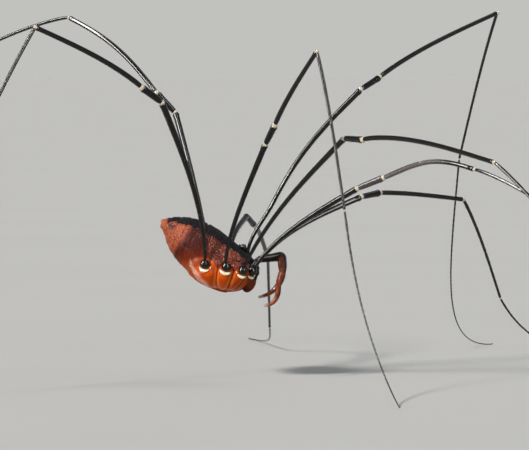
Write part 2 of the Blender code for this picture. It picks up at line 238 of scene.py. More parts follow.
def scattered(piece, spacing):
    # spots spread evenly over a skin, no two nearer than the spacing, and the skin's way at each
    piece.data.calc_loop_triangles()
    corners = listed(piece.data.loop_triangles, "vertices", 3, np.int32)
    places, ways = pointsOf(piece), normalsOf(piece)
    a, b, c = (places[corners[:, k]] for k in range(3))
    areas = np.linalg.norm(np.cross(b - a, c - a), axis=1) / 2
    tries = int(areas.sum() / spacing**2 * 3)  # enough to fill the skin
    chosen = random.choice(len(areas), tries, p=areas / areas.sum())
    u, v = random.random((2, tries, 1))
    u, v = np.where(u + v > 1, 1 - u, u), np.where(u + v > 1, 1 - v, v)
    spots = a[chosen] + u * (b[chosen] - a[chosen]) + v * (c[chosen] - a[chosen])
    cells = np.floor(spots / spacing).astype(int).tolist()
    kept, taken = [], {}
    near = [(i, j, k) for i in (-1, 0, 1) for j in (-1, 0, 1) for k in (-1, 0, 1)]
    for index, (spot, cell) in enumerate(zip(spots.tolist(), cells)):
        beside = (taken.get((cell[0] + i, cell[1] + j, cell[2] + k)) for i, j, k in near)
        if all(other is None or math.dist(spot, other) >= spacing for other in beside):
            taken[tuple(cell)] = spot
            kept.append(index)
    kept = np.array(kept)
    return spots[kept], ways[corners[chosen[kept], 0]]


# Shader helpers.
class Wire:  # a socket of a material's nodes, with sums written as Python
    def __init__(self, tree, socket=None):
        self.tree, self.socket = tree, socket

    def node(self, kind, settings, inputs, output=0):
        made = self.tree.nodes.new("ShaderNode" + kind)
        for key, value in settings.items():
            setattr(made, key, value)
        for key, value in inputs.items():
            if isinstance(value, Wire):
                self.tree.links.new(value.socket, made.inputs[key])
            else:
                made.inputs[key].default_value = value
        return Wire(self.tree, made.outputs[output])

    def maths(self, operation, *values):
        return self.node("Math", {"operation": operation}, dict(enumerate(values)))

    def __add__(self, other):
        return self.maths("ADD", self, other)

    def __sub__(self, other):
        return self.maths("SUBTRACT", self, other)

    def __rsub__(self, other):
        return self.maths("SUBTRACT", other, self)

    def __mul__(self, other):
        return self.maths("MULTIPLY", self, other)

    __radd__, __rmul__ = __add__, __mul__

    def most(self, other):
        return self.maths("MAXIMUM", self, other)

    def away(self):  # without its sign
        return self.maths("ABSOLUTE", self)

    def wave(self):
        return self.maths("SINE", self)

    def squared(self):
        return self.maths("MULTIPLY", self, self)

    def step(self, low, high):  # eases from 0 at low to 1 at high
        ends = {1: min(low, high), 2: max(low, high), 3: float(low > high), 4: float(low < high)}
        return self.node("MapRange", {"interpolation_type": "SMOOTHSTEP"}, {"Value": self, **ends})

    def blend(self, first, second):  # from the first colour at 0 to the second at 1
        colours = {0: self}
        for key, colour in ((6, first), (7, second)):
            colours[key] = colour if isinstance(colour, Wire) else (*colour, 1)
        return self.node("Mix", {"data_type": "RGBA"}, colours, 2)

    def noise(self, scale, detail):
        return self.node("TexNoise", {}, {"Vector": self, "Scale": scale, "Detail": detail})

    def cells(self, scale):
        return self.node("TexVoronoi", {}, {"Vector": self, "Scale": scale})

    def parts(self):
        outlets = self.node("SeparateXYZ", {}, {0: self}).socket.node.outputs
        return [Wire(self.tree, outlet) for outlet in outlets]

    def painted(self, name):
        return self.node("Attribute", {"attribute_name": name}, {}, 2)


def layered(colour, tints, **masks):
    # each named tint over the ones before it, where its mask says
    for name, mask in masks.items():
        colour = mask.blend(colour, tints[name])
    return colour


# the axes of the tilted body, for patterns that follow it
bodyAxes = {"Location": tilted @ Vector(), "Rotation": (0, math.radians(stance["pitch"]), 0)}


def startMaterial(name, axes=None, **fixed):
    # the material, its shader and the place on the piece in millimetres, or in the axes that are given
    made = bpy.data.materials.new(name)
    made.use_nodes = True
    shader = made.node_tree.nodes["Principled BSDF"]
    for key, value in fixed.items():
        shader.inputs[key.replace("_", " ")].default_value = value
    place = Wire(made.node_tree).node("TexCoord", {}, {}, 3)
    inputs = {"Vector": place, "Scale": (0.001,) * 3, **(axes or {})}
    return made, shader, place.node("Mapping", {"vector_type": "TEXTURE"}, inputs)


def bumped(shader, height, strength, distance):
    # distance is the full relief in metres
    way = height.node("Bump", {}, {"Height": height, "Strength": strength, "Distance": distance})
    feed(shader, Normal=way)


def feed(shader, **inputs):
    for key, value in inputs.items():
        value.tree.links.new(value.socket, shader.inputs[key.replace("_", " ")])


# The body: one skin over abdomen, carapace, coxae and the eyes' mound, and the granules on it.
body = {
    "sections": (  # x, top, underside, half width
        (-3.95, 0.75, 0.60, 0.10), (-3.80, 1.05, 0.42, 0.45), (-3.50, 1.28, 0.12, 0.85),
        (-3.00, 1.52, -0.50, 1.25), (-2.20, 1.78, -1.12, 1.70), (-1.20, 1.85, -1.58, 2.00),
        (-0.20, 1.72, -1.95, 2.05), (0.80, 1.42, -2.02, 1.92), (1.70, 1.16, -1.94, 1.66),
        (2.40, 0.90, -1.66, 1.28), (2.80, 0.68, -1.30, 0.98), (3.05, 0.45, -0.90, 0.70),
    ),
    "corners": 64,
    "rings": 72,
    "voxel": 0.039,
    "backFolds": (-3.45, -2.85, -2.15, -1.35, -0.50),
    "bellyFolds": (-3.35, -2.95, -2.50, -2.05, -1.60),
    "foldWidth": 0.075,
    "foldDepth": 0.045,
    "bellyFoldDepth": 0.036,
    "stripDepth": 0.03,
    "waist": (-0.25, 0.33),  # x and z where the waist crosses the flank
    "waistSlant": 0.5,
    "waistWidth": 0.09,
    "waistDepth": 0.05,
    "plateRise": 0.07,
    "tailLobes": (((-3.87, 0, 0.86), (0.17, 0.30, 0.15)), ((-3.77, 0, 0.52), (0.15, 0.26, 0.15))),
    "mound": ((1.72, 0, 1.12), (0.40, 0.34, 0.27)),
    "mouthLobe": ((3.00, 0.62, -0.84), (0.42, 0.36, 0.58)),
    "shoulders": (  # fill the notches between the coxae's upper ends
        ((0.58, 1.95, -0.42), (0.55, 0.42, 0.42)),
        ((1.86, 1.92, -0.10), (0.46, 0.38, 0.40)),
        ((2.62, 1.62, 0.02), (0.34, 0.32, 0.32)),
        ((-0.58, 1.70, -0.62), (0.42, 0.42, 0.46)),
    ),
}
hips = {1: (2.94, 1.65, 0.12), 2: (2.39, 2.25, -0.03), 3: (1.28, 2.50, -0.22), 4: (-0.12, 2.45, -0.58)}
coxa = {
    "roots": {
        1: (1.85, 0.45, -1.36), 2: (1.68, 0.50, -1.48), 3: (1.52, 0.50, -1.48), 4: (0.85, 0.50, -1.46),
    },
    "girths": {1: 0.50, 2: 0.46, 3: 0.53, 4: 0.72},
    "backs": {1: 1.0, 2: 1.0, 3: 1.0, 4: 1.65},  # how much wider a coxa is behind its axis
    "shape": ((0.0, 0.55), (0.18, 0.85), (0.4, 1.0), (0.62, 1.0), (0.8, 0.92), (1.0, 0.82)),
    "lip": 0.34,  # the radius that all of them end with
    "sags": {1: 0.30, 2: 0.30, 3: 0.30, 4: 0.20},
    "end": 0.25,  # from the hip's centre
    "corners": 24,
    "grooveDepth": 0.035,
    "grooveWidth": 0.045,
    "ridgeRise": 0.012,
}


def mirrored(place, side):
    return Vector((place[0], side * place[1], place[2]))


def sided(name, side):
    return name + ("Right" if side < 0 else "Left")


def sectionAt(x):
    # middle, half width and half height of the body, eased between the named sections
    rows = body["sections"]
    last = len(rows) - 2
    index = next((i for i in range(last) if x <= rows[i + 1][0]), last)
    before, here = rows[max(index - 1, 0)], rows[index]
    there, after = rows[index + 1], rows[min(index + 2, last + 1)]
    width = there[0] - here[0]
    t = min(max((x - here[0]) / width, 0), 1)
    values = []
    for k in (1, 2, 3):
        outSlope = (there[k] - before[k]) / (there[0] - before[0]) * width
        inSlope = (after[k] - here[k]) / (after[0] - here[0]) * width
        value = (2 * t**3 - 3 * t**2 + 1) * here[k] + (t**3 - 2 * t**2 + t) * outSlope
        values.append(value + (3 * t**2 - 2 * t**3) * there[k] + (t**3 - t**2) * inSlope)
    top, floor, half = values
    return (top + floor) / 2, half, (top - floor) / 2


def bodyCore():
    # one disc drawn out ring by ring from tail to head
    first, last = body["sections"][0][0], body["sections"][-1][0]
    x, (middle, half, tall) = first, sectionAt(first)
    bpy.ops.mesh.primitive_circle_add(
        vertices=body["corners"], radius=1, fill_type="NGON",
        location=(x, 0, middle), rotation=(0, math.pi / 2, 0),
    )
    core = bpy.context.object
    bpy.ops.object.transform_apply()
    bpy.ops.object.mode_set(mode="EDIT")
    bpy.ops.mesh.select_all(action="SELECT")
    bpy.ops.transform.resize(value=(1, half, tall), center_override=(x, 0, middle))
    for ring in range(1, body["rings"] + 1):
        forward = first + (last - first) * ring / body["rings"]
        newMiddle, newHalf, newTall = sectionAt(forward)
        move = {"value": (forward - x, 0, newMiddle - middle)}
        bpy.ops.mesh.extrude_region_move(TRANSFORM_OT_translate=move)
        grow = (1, newHalf / half, newTall / tall)
        bpy.ops.transform.resize(value=grow, center_override=(forward, 0, newMiddle))
        x, middle, half, tall = forward, newMiddle, newHalf, newTall
    bpy.ops.mesh.select_all(action="SELECT")
    bpy.ops.mesh.normals_make_consistent(inside=False)
    bpy.ops.object.mode_set(mode="OBJECT")
    return core


def coxaLine(pair, side, count=18):
    # the curved axis of a coxa and its radius along it
    root, hip = mirrored(coxa["roots"][pair], side), mirrored(hips[pair], side)
    end = hip + (root - hip).normalized() * coxa["end"]
    outward = Vector((0, side, -1)).normalized()
    places, radii = [], []
    for step in range(count + 1):
        t = step / count
        places.append(root.lerp(end, t) + outward * coxa["sags"][pair] * math.sin(math.pi * t))
        radius = float(between(coxa["shape"], t)) * coxa["girths"][pair]
        radii.append(radius + (coxa["lip"] - radius) * max(t - 0.82, 0) / 0.18)
    return places, radii


def widerBehind(pair, count):
    # how many times wider a coxa is behind its axis, fading to 1 at the hip
    return 1 + (coxa["backs"][pair] - 1) * np.clip((1 - np.linspace(0, 1, count)) * 4, 0, 1)


def coxaForm(pair, side):
    knots, radii = coxaLine(pair, side)
    made = rod(knots, radii, coxa["corners"])
    places = pointsOf(made)
    axis = np.repeat(np.array(knots), coxa["corners"], 0)
    wider = np.repeat(widerBehind(pair, len(knots)), coxa["corners"])
    places[:, 0] += np.minimum(places[:, 0] - axis[:, 0], 0) * (wider - 1)
    setPoints(made, places)
    return made


def nearCoxae(places):
    # for each point: girths from the nearest coxa's axis, place along it, by how much the second nearest
    # is further, and which pair it is
    every = np.arange(len(places))
    rows = []
    for pair in hips:
        for side in sides.values():
            knots, radii = (np.array(values) for values in coxaLine(pair, side))
            apart = places[:, None] - knots
            wider = widerBehind(pair, len(knots))
            apart[:, :, 0] = np.where(apart[:, :, 0] < 0, apart[:, :, 0] / wider, apart[:, :, 0])
            reach = np.linalg.norm(apart, axis=2) - radii
            closest = reach.argmin(1)
            best = reach[every, closest]
            along = closest / (len(knots) - 1)
            rows.append((best, 1 + best / radii[closest], along, np.full(len(places), float(pair))))
    table = np.array(rows)
    order = table[:, 0].argsort(0)
    best, girths, along, pair = table[order[0], :, every].T
    return girths, along, table[order[1], 0, every] - best, pair


def smoothedPoints(piece, rounds, share):
    # the points drawn towards their neighbours' middle, each by its own share
    places = pointsOf(piece)
    edges = listed(piece.data.edges, "vertices", 2, np.int32)
    one, other = edges.T
    count = np.bincount(edges.ravel(), minlength=len(places))[:, None]
    for _ in range(rounds):
        total = np.zeros_like(places)
        np.add.at(total, one, places[other])
        np.add.at(total, other, places[one])
        places += (total / count - places) * share
    return places


def foldAcross(places, folds):
    # 1 in the bottom of each fold across the body, which bows back at the sides
    x = places[:, 0] + 0.05 * places[:, 1] ** 2
    return bell(x[:, None] - np.array(folds), body["foldWidth"]).max(1)


def fromWaist(places):
    # how far in front of the slanting line where the abdomen meets the carapace
    return places[:, 0] - body["waist"][0] + body["waistSlant"] * (places[:, 2] - body["waist"][1])


def bodySkin():
    forms = [bodyCore()]
    for side in sides.values():
        forms += [coxaForm(pair, side) for pair in hips]
        for place, size in (*body["shoulders"], body["mouthLobe"]):
            forms.append(ball(mirrored(place, side), size))
    forms += [ball(*lobe) for lobe in (*body["tailLobes"], body["mound"])]
    made = joined(forms, "BodySkin")
    applied(made, "REMESH", mode="VOXEL", voxel_size=body["voxel"])
    applied(made, "SMOOTH", factor=0.5, iterations=3)
    # the coxae flow into the body and into each other
    girths, _, gap, _ = nearCoxae(pointsOf(made))
    joins = eased(0.30, 0.05, gap) * eased(1.7, 1.3, girths)
    setPoints(made, smoothedPoints(made, 12, 0.5 * eased(1.8, 1.3, girths)[:, None]))
    setPoints(made, smoothedPoints(made, 60, 0.9 * joins[:, None]))

    places, ways = pointsOf(made), normalsOf(made)
    girths, along, gap, _ = nearCoxae(places)
    onCoxa = 1 - eased(1.06, 1.28, girths)
    rows = np.array(body["sections"])
    level = places[:, 2] - np.interp(places[:, 0], rows[:, 0], (rows[:, 1] + rows[:, 2]) / 2)
    upper = eased(-0.35, 0.25, level)
    back = foldAcross(places, body["backFolds"]) * upper
    belly = foldAcross(places, body["bellyFolds"]) * (1 - upper)
    belly *= eased(-0.9, -1.5, places[:, 0])
    # the soft strip along each flank, between the plates of the back and of the belly
    strip = bell(level + 0.25, 0.16) * eased(-3.5, -2.6, places[:, 0]) * eased(0.2, -0.7, places[:, 0])
    waist = bell(fromWaist(places), body["waistWidth"]) * eased(-0.7, -0.3, places[:, 2])
    # the long plate under the middle of the body
    plate = eased(0.62, 0.50, np.abs(places[:, 1])) * (1 - upper)
    plate *= eased(-1.1, -0.9, places[:, 0]) * eased(1.95, 1.75, places[:, 0])
    groove = bell(gap, coxa["grooveWidth"]) * onCoxa * eased(0.03, 0.15, along) * (1 - plate)
    ridge = bell(gap - 0.17, 0.08) * onCoxa * (1 - plate)
    soft = 1 - 0.6 * eased(-2.3, -2.0, places[:, 0])
    sink = (back * body["foldDepth"] + belly * body["bellyFoldDepth"]) * soft
    sink = (sink + strip * body["stripDepth"] + waist * body["waistDepth"]) * (1 - onCoxa)
    sink += groove * coxa["grooveDepth"] - ridge * coxa["ridgeRise"] - plate * body["plateRise"]
    setPoints(made, places - ways * sink[:, None])
    smooth = smoothedPoints(made, 12, 1.0)
    # how hollow each point is, for painted shade in the hollows
    hollow = ((smooth - pointsOf(made)) * normalsOf(made)).sum(1)
    # for painted shade in the creases of the folds and at the waist
    crease = np.clip((back + belly) * soft + waist, 0, 1) * (1 - onCoxa)
    paints = {"onCoxa": onCoxa, "groove": groove, "ridge": ridge, "crease": crease}
    for name, values in {**paints, "hollow": np.clip(hollow / 0.03, -1, 1)}.items():
        paintPoints(made, name, values)
    return made


bodyTints = {
    "tail": ((0.26, 0.024, 0.006), (0.54, 0.15, 0.060)),
    # painted shadow over the middle of the flank, partly the flank's own darker red
    "middle": (0.060, 0.005, 0.001),
    "waist": (0.13, 0.014, 0.005),
    "rearBelly": (0.36, 0.050, 0.006),
    "flank": (0.26, 0.032, 0.003),
    "lowFlank": (0.46, 0.080, 0.010),
    "oval": (0.46, 0.100, 0.045),
    "tailTip": (0.70, 0.34, 0.18),
    # painted shade: the mouth lobe dark towards its underside, lighter above
    "mouthLobe": ((0.030, 0.007, 0.002), (0.17, 0.030, 0.004)),
    "blotch": (0.05, 0.006, 0.002),
    "coxa": ((0.58, 0.080, 0.003), (0.40, 0.042, 0.002)),
    "coxaRidge": (0.72, 0.20, 0.035),
    "coxaRear": (0.33, 0.075, 0.035),
    # painted shade: the front coxae darker towards the front, the first coxa darkest
    "frontCoxa": (0.28, 0.038, 0.003),
    "firstCoxa": (0.06, 0.014, 0.002),
    "coxaDots": (0.10, 0.012, 0.004),
    # painted highlight along the belly and the rear coxa
    "bellyStreak": (0.80, 0.42, 0.30),
    "band": (0.004, 0.0045, 0.007),
    # painted shade in the grooves between the coxae, in the creases of the folds and in the hollows
    "groove": (0.09, 0.012, 0.002),
    "crease": (0.05, 0.006, 0.002),
    "hollow": (0.05, 0.007, 0.002),
    "granuleTop": (0.74, 0.36, 0.29),
    "bandGranules": ((0.003, 0.0035, 0.006), (0.030, 0.036, 0.055)),
}


def bodyColour(spot):
    # the markings, with painted shade and shadow among them, the same on the skin and on its granules
    x, y, z = spot.parts()
    ragged = spot.noise(2.2, 4.0) - 0.5
    fine = spot.noise(9.0, 3.0) - 0.5
    # the dark band down the back: scalloped at each plate, broad over the waist and round the eyes
    bend = x + 1.0
    taper = bend.step(0.2, -0.2) * 0.065 + 0.06
    width = 1.42 - bend * bend * taper + (x * 4.3).wave().away() * 0.08 + ragged * 0.5 + fine * 0.3
    edge = 0.65 - x.step(-1.0, 1.0) * 0.75
    band = (y.away() - width).step(0.06, -0.06) * (z - edge).step(-0.15, 0.15) * x.step(-3.66, -3.52)
    front = (z - (0.80 - (x - 1.7) * 0.30) - ragged * 0.8).step(-0.10, 0.10) * x.step(0.5, 1.3)
    face = (x - 2.62 - ragged * 0.5).step(-0.15, 0.10) * (z + 0.35).step(0.0, 0.3)
    fleck = ((x + 3.25) * 3.0).squared() + ((z - 0.82) * 5.0).squared()
    fleck = (fleck + fine * 5.0 + ragged * 3.0).step(1.0, 0.5) * (y.away() - 0.6).step(0.0, 0.1) * 0.75
    dark = band.most(front).most(face).most(fleck)
    # the lit rear, and in front of this slanting line a painted shadow over the flank, partly its own
    # darker red
    tail = (x - z * 0.20 + ragged * 0.4).step(-1.95, -2.45)
    wrinkled = (fine + 0.5).step(0.32, 0.68).blend(*bodyTints["tail"])
    warm = tail.blend(bodyTints["middle"], wrinkled)
    flank = x.step(-2.3, -1.9) * (x + z * 0.5).step(-0.05, -0.35)
    # painted shade on the mouth lobe, dark towards its underside
    lobe = (z + x * 0.3 + ragged * 0.4).step(-0.55, 0.25).blend(*bodyTints["mouthLobe"])
    warm = layered(
        warm, {**bodyTints, "lobe": lobe},
        waist=x.step(-0.6, 0.0),
        rearBelly=x.step(-1.2, -0.8) * z.step(-1.2, -1.5),
        flank=flank * (x * 0.45 - z + ragged * 0.5).step(-0.9, 0.8),
        lowFlank=flank * (x * 0.5 - z - 0.3).step(-0.2, 0.6),
        oval=x.step(-0.6, 0.0) * z.step(-1.0, -0.5) * (fine + 0.5).step(0.48, 0.66) * 0.8,
        tailTip=x.step(-3.84, -3.98) * 0.6,
        lobe=x.step(2.5, 2.8) * z.step(-0.1, -0.4),
        blotch=spot.noise(1.3, 2.0).step(0.45, 0.75) * (1 - tail) * 0.5,
    )
    return (x, y, z), dark, warm, ragged, fine


def skinMaterial():
    made, shader, spot = startMaterial("cuticle", bodyAxes, Specular_IOR_Level=0.06)
    (x, y, z), dark, warm, ragged, fine = bodyColour(spot)
    names = ("onCoxa", "hollow", "groove", "ridge", "crease")
    onCoxa, hollow, groove, ridge, crease = (spot.painted(name) for name in names)
    orange = layered(
        spot.noise(1.6, 3.0).step(0.3, 0.7).blend(*bodyTints["coxa"]), bodyTints,
        coxaRidge=ridge * 0.75,
        coxaRear=x.step(-0.25, -0.85) * 0.8,
        # painted shade over the front coxae and the first coxa
        frontCoxa=(x - z * 0.3).step(1.7, 2.8) * 0.7,
        firstCoxa=x.step(2.65, 3.0) * 0.65,
        coxaDots=spot.cells(7.0).step(0.30, 0.18) * x.step(1.7, 2.3) * 0.6,
    )
    # a painted pink highlight along the belly, from the abdomen on to the rear coxa, where the skin is also
    # a little less rough
    streak = z + x * 0.45 + 1.66 - (-0.25 - x).most(0).squared() * 0.35 + ragged * 0.35
    pink = streak.away().step(0.27, 0.08) * x.step(-1.25, -1.0) * x.step(0.90, 0.50)
    pink = pink * (y.away() - 0.45).step(0.0, 0.3) * (fine + 0.5).step(0.2, 0.6)
    colour = layered(
        onCoxa.blend(warm, orange), bodyTints,
        bellyStreak=pink * 0.85,
        band=dark * (1 - onCoxa),
        # painted shade in the grooves, the creases and the hollows
        groove=groove * 0.7,
        crease=crease * 0.4,
        hollow=hollow.step(0.4, 1.0) * 0.4,
    )
    feed(shader, Base_Color=colour, Roughness=0.30 + (1 - onCoxa) * 0.16 + fine * 0.2 - pink * 0.12)
    relief = (1 - spot.cells(9.0).step(0.0, 0.75)) * (1 - onCoxa) + spot.noise(14.0, 4.0) * 0.3
    bumped(shader, relief, 0.6, 0.00004)
    return made


def granuleMaterial():
    made, shader, spot = startMaterial("granules", bodyAxes, Specular_IOR_Level=0.15)
    (x, _, _), dark, warm = bodyColour(spot)[:3]
    tint, tip = spot.painted("tint"), spot.painted("tip")
    light = (tip.step(0.1, 0.9) * tint.step(0.2, 1.0) * 0.85).blend(warm, bodyTints["granuleTop"])
    bluish = (tint.step(0.6, 1.0) * x.step(-1.0, -2.6)).blend(*bodyTints["bandGranules"])
    feed(shader, Base_Color=dark.blend(light, bluish), Roughness=0.30 + tint * 0.15)
    return made


granule = {"spacing": 0.078, "least": 0.022, "most": 0.050, "rise": 0.65}


def bodyGranules(skin):
    spots, ways = scattered(skin, granule["spacing"])
    girths, _, _, pair = nearCoxae(spots)
    x, y, z = spots.T
    # the share of the spots that hold one: all over the tail and the carapace, most of the back, few below
    tail = eased(-2.1, -2.5, x - 0.2 * z) * (0.4 + 0.6 * eased(-3.95, -3.75, x))
    carapace = eased(0.03, 0.15, fromWaist(spots)) * eased(-0.55, -0.30, z - 0.28 * (x - 1))
    back = eased(0.75, 1.1, z)
    share = np.maximum.reduce([tail, carapace, back * 0.8, np.full(len(x), 0.05)])
    share *= (0.25 + 0.75 * eased(-1.6, -0.2, z)) * (0.03 + 0.97 * eased(1.10, 1.30, girths))
    frontCoxae = (pair < 2.5) * (girths < 1.3) * (np.abs(y) > 0.5)
    mouthLobes = (x > 2.65) * (z < -0.3) * (np.abs(y) > 0.35)
    share = np.maximum.reduce([share, 0.10 * frontCoxae, 0.35 * mouthLobes])
    share *= np.linalg.norm((spots - body["mound"][0]) / body["mound"][1], axis=1) > 1.25
    kept = random.random(len(x)) < share
    spots, ways, share = spots[kept], ways[kept], share[kept]
    grade = random.random(len(spots)) ** 1.6
    widths = (granule["least"] + (granule["most"] - granule["least"]) * grade) * (0.6 + 0.4 * share)
    widths *= 1 + 0.35 * carapace[kept]
    made = stamped("BodyGranules", bead, spots, ways, widths, widths * granule["rise"])
    paintPoints(made, "tint", np.repeat(random.random(len(spots)), len(bead[0])))
    paintPoints(made, "tip", np.tile(bead[0][:, 2], len(spots)))
    return made


skinForm = bodySkin()
granules = bodyGranules(skinForm)
finished(skinForm, tilted, skinMaterial(), ("Abdomen", "Prosoma"))
finished(granules, tilted, granuleMaterial(), (), 80)
print("body skin and granules", len(skinForm.data.polygons), len(granules.data.polygons), "faces")


# Pale rims that hold the hips' black balls.
rim = {
    "radius": 0.41,
    "back": 0.20,
    "halves": {1: 42, 2: 50, 3: 64, 4: 58},
    "thick": {1: 0.092, 2: 0.105, 3: 0.122, 4: 0.120},
    "thin": 0.015,
    "turn": -8,
    "flecks": {1: 1, 2: -1, 4: 1},  # small cream spots beyond the front (1) or rear (-1) end
    "fleckSizes": ((18, 0.050), (31, 0.036)),
    "cream": ((0.86, 0.77, 0.54), (0.72, 0.50, 0.26)),
}


def coxaRims():
    arcs = []
    for pair in hips:
        for side in sides.values():
            hip = mirrored(hips[pair], side)
            along = (hip - mirrored(coxa["roots"][pair], side)).normalized()
            down = Vector((0.0, 0.0, -1.0))
            down = (down - along * down.dot(along)).normalized()
            across = along.cross(down)
            centre = hip - along * rim["back"]
            half = rim["halves"][pair]

            def around(angle):
                turned = math.radians(angle + rim["turn"] * side)
                return centre + (down * math.cos(turned) + across * math.sin(turned)) * rim["radius"]

            angles = [half * (step / 12 - 1) for step in range(25)]
            full = [max(math.cos(math.radians(angle * 90 / half)), 0) ** 0.7 for angle in angles]
            radii = [rim["thin"] + (rim["thick"][pair] - rim["thin"]) * share for share in full]
            arcs.append(rod(list(map(around, angles)), radii, 12))
            for beyond, size in rim["fleckSizes"] if pair in rim["flecks"] else ():
                arcs.append(ball(around(-(half + beyond) * side * rim["flecks"][pair]), (size,) * 3, 8))
    return joined(arcs, "CoxaRims")


def rimMaterial():
    made, shader, spot = startMaterial("creamRim", Roughness=0.3, Coat_Weight=0.5, Coat_Roughness=0.1)
    feed(shader, Base_Color=spot.noise(5.0, 3.0).step(0.45, 0.8).blend(*rim["cream"]))
    bumped(shader, spot.noise(18.0, 3.0), 0.4, 0.00002)
    return made


finished(coxaRims(), tilted, rimMaterial(), ())


# The eyes, and the rings and teeth on their mound.
eye = {
    "offset": (0.02, 0.32, 0.155),  # from the mound's middle
    "size": (0.178,) * 3,
    "rim": (0.170, 0.026),  # radius and thickness
    "teeth": 7,
    "tooth": (0.036, 0.075),
    "black": ((0.003, 0.003, 0.004), (0.010, 0.008, 0.009)),
    "moundBlack": ((0.004, 0.004, 0.006), (0.020, 0.018, 0.020)),
}


def eyePlace(side):
    return mirrored([a + b for a, b in zip(body["mound"][0], eye["offset"])], side)


def moundTrim():
    # a ring of thick skin round each eye, and two rows of teeth along the top of the mound
    middle, size = (np.array(values) for values in body["mound"])
    pieces, spots = [], []
    for side in sides.values():
        centre = np.array(eyePlace(side)) + (0, 0.045 * side, 0)
        turns = np.linspace(0, 2 * math.pi, 33)
        ring = centre + eye["rim"][0] * np.stack((np.cos(turns), turns * 0, np.sin(turns)), 1)
        pieces.append(rod(ring, 33 * [eye["rim"][1]], 10))
        for step in range(eye["teeth"]):
            angle = math.radians(-65 + 130 * step / (eye["teeth"] - 1))
            way = np.array((math.sin(angle) * 0.94, 0.36 * side, math.cos(angle) * 0.94))
            spots.append(middle + size * way * 0.97)
    spots = np.array(spots)
    ways = (spots - middle) / size**2
    larger = 0.7 + 1.1 * np.abs(spots[:, 0] - middle[0]) / size[0]
    wide, tall = (value * larger for value in eye["tooth"])
    ahead = np.tile((0.4, 0.0, 1.0), (len(spots), 1))
    pieces.append(stamped("moundTeeth", thorn, spots, ways, wide, tall, ahead))
    return joined(pieces, "EyeMoundTrim")


def eyeMaterial():
    made, shader, spot = startMaterial("eyeGloss", Roughness=0.05, IOR=1.4)
    feed(shader, Base_Color=spot.noise(3.0, 1.0).blend(*eye["black"]))
    return made


def trimMaterial():
    made, shader, spot = startMaterial("moundBlack", IOR=1.35)
    colour = spot.noise(6.0, 3.0).blend(*eye["moundBlack"])
    feed(shader, Base_Color=colour, Roughness=0.25 + spot.noise(12.0, 2.0) * 0.2)
    bumped(shader, spot.noise(20.0, 3.0), 0.4, 0.00002)
    return made


eyeGloss = eyeMaterial()
for label, side in sides.items():
    eyeball = joined([ball(eyePlace(side), eye["size"], 20)], sided("Eye", side))
    finished(eyeball, tilted, eyeGloss, ("Eye_" + label,))
finished(moundTrim(), tilted, trimMaterial(), ())
print("rims and eyes")


# Legs: glossy black rods with pale joints, rows of small teeth and a claw on each foot.
leg = {
    "lengths": {
        1: (9.2, 1.9, 7.4, 9.0, 14), 2: (14.4, 2.0, 12, 13.5, 24), 3: (9, 1.8, 7.4, 10.5, 17),
        4: (11.8, 1.9, 9.4, 14, 21),
    },
    "radii": ((0.120, 0.205), (0.205, 0.220), (0.175, 0.150), (0.120, 0.088), (0.080, 0.042)),
    "stout": {1: 1.0, 2: 0.95, 3: 0.98, 4: 1.05},
    "ball": 0.32,
    "footHeight": 0.045,
    "ring": 0.11,
    "gap": 0.03,  # from a segment's end to the joint's middle
    "toothRows": (15, 75, 130, 180, 235, 300),
    # size and spacing of the teeth on each kind of segment
    "teeth": {
        "Femur": ((0.020, 0.042), 0.23), "Patella": ((0.020, 0.042), 0.23), "Tibia": ((0.012, 0.036), 0.23),
        "Metatarsus": ((0.012, 0.036), 0.345),
    },
    "tones": {"Femur": 0.0, "Patella": 0.0, "Tibia": 0.04, "Metatarsus": 0.12},
    "notches": 1.15,  # from one shallow ring of a metatarsus to the next
    "claw": (0.16, 0.045, 0.075, 0.020, 0.004),  # reach, lift, hook, and radius at root and tip
    "black": ((0.004, 0.004, 0.005), (0.012, 0.010, 0.009)),
    # brownish far segments, and a painted grey sheen on the right first tibia and patella
    "brown": ((0.035, 0.028, 0.030), (0.30, 0.27, 0.28)),
    "pale": (0.58, 0.51, 0.39),
}
segments = ("Femur", "Patella", "Tibia", "Metatarsus", "Tarsus")
poses = {  # yaw and rise of femur, patella, tibia and metatarsus; the tarsus's yaw and rise and last yaw
    "R1": ((-17, 37), (-11, 22), (-36, 5), (-38, -23), (-38, -64, -15)),
    "R2": ((-52, 38), (-52, -2), (-46, -6), (-40, -42), (-40, -40, 25)),
    "R3": ((-44, 65), (-59, 44), (-59, 40), (-50, -74), (-50, -78, -85)),
    "R4": ((-120, 65), (-139, 31), (-137, 24), (-138, -59), (-138, -66, -165)),
    "L1": ((27, 31), (50, 7), (40, -4.5), (62, -52), (62, -42, 25)),
    "L2": ((20, 56), (48, 24), (44, 22), (108, -50), (102, -66, 60)),
    "L3": ((86, 19), (76, -22), (85, -20), (92, -32), (92, -22, 108)),
    "L4": ((115, 57), (168, 45), (146, 34), (161, -22), (161, -79, 140)),
}
bows = {  # how far femur, tibia and metatarsus bow upward, and the femur sideways
    "R1": (0.55, 0.75, 0.3, 0.0), "R2": (0.65, 0.5, 0.4, 0.0), "R3": (0.50, 0.2, 0.2, 0.0),
    "R4": (0.55, 0.3, 0.2, 0.3), "L1": (0.70, 0.1, 0.3, 0.0), "L2": (1.05, 0.3, 0.3, 0.0),
    "L3": (0.50, 0.3, 0.3, 0.25), "L4": (0.40, 0.6, 0.6, 0.0),
}
# power that sets where a segment bends most; above 1 is past its middle
bendPlaces = {("R1", 2): 1.1, ("R3", 0): 0.6, ("L2", 0): 1.0, ("L4", 2): 1.0}
earlyBows = {("L2", 0): 0.4}  # more bow near a segment's start, over this part of its length
earlyPart = 0.35


def heading(yaw, rise):
    yaw, rise = math.radians(yaw), math.radians(rise)
    return Vector((math.cos(rise) * math.cos(yaw), math.cos(rise) * math.sin(yaw), math.sin(rise)))


